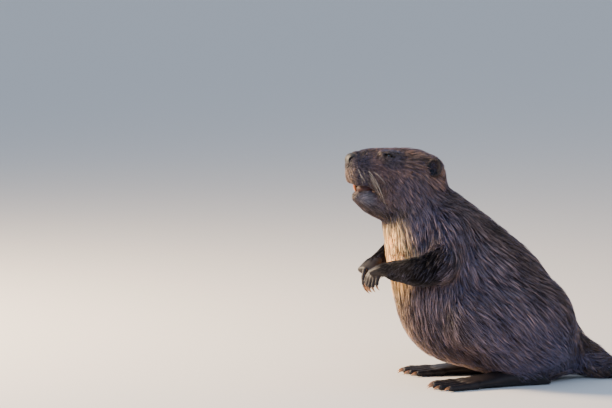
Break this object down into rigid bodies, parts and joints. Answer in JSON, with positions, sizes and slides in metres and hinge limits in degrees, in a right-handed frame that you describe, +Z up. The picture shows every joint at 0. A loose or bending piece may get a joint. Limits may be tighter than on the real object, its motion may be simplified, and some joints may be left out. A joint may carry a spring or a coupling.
{
  "type": "eurasian beaver, still life-size model",
  "caption": "Still life-size beaver sitting up on its haunches, hands held before the chest, lips a little parted, flat scaly tail laid behind.",
  "frame": {"origin": "on the flat under the rump, on the floor, midway between the hips", "axes": "+Z up; the animal faces -X, its tail runs along +X, its left side is -Y"},
  "size_m": [0.7012, 0.318, 0.4105],
  "materials": {
    "coat": "dense coarse fur, damp and clumped on the flanks",
    "skin": "bare or thinly haired dark skin",
    "tail_skin": "scaly dark skin, satin",
    "nose": "moist pebbled black skin",
    "claw": "dark horn, satin",
    "eye": "wet, mirror-smooth, nearly black",
    "tooth": "orange enamel, satin"
  },
  "bodies": {
    "root": {"foreleg_left": "coat", "hand_left": "skin", "foot_left": "skin", "claw_hand_left_1": "claw", "claw_foot_left_1": "claw", "claw_hand_left_2": "claw", "claw_foot_left_2": "claw", "claw_hand_left_3": "claw", "claw_foot_left_3": "claw", "claw_hand_left_4": "claw", "claw_foot_left_4": "claw", "claw_hand_left_5": "claw", "claw_foot_left_5": "claw", "thigh_left": "coat", "eye_left": "eye", "ear_left": "skin", "foreleg_right": "coat", "hand_right": "skin", "foot_right": "skin", "claw_hand_right_1": "claw", "claw_foot_right_1": "claw", "claw_hand_right_2": "claw", "claw_foot_right_2": "claw", "claw_hand_right_3": "claw", "claw_foot_right_3": "claw", "claw_hand_right_4": "claw", "claw_foot_right_4": "claw", "claw_hand_right_5": "claw", "claw_foot_right_5": "claw", "thigh_right": "coat", "eye_right": "eye", "ear_right": "skin", "chest": "coat", "rump": "coat", "neck": "coat", "tail_root": "coat", "head": "coat", "jaw": "coat", "tail": "tail_skin", "nose": "nose", "incisors_upper": "tooth", "incisors_lower": "tooth"}
  },
  "joints": []
}
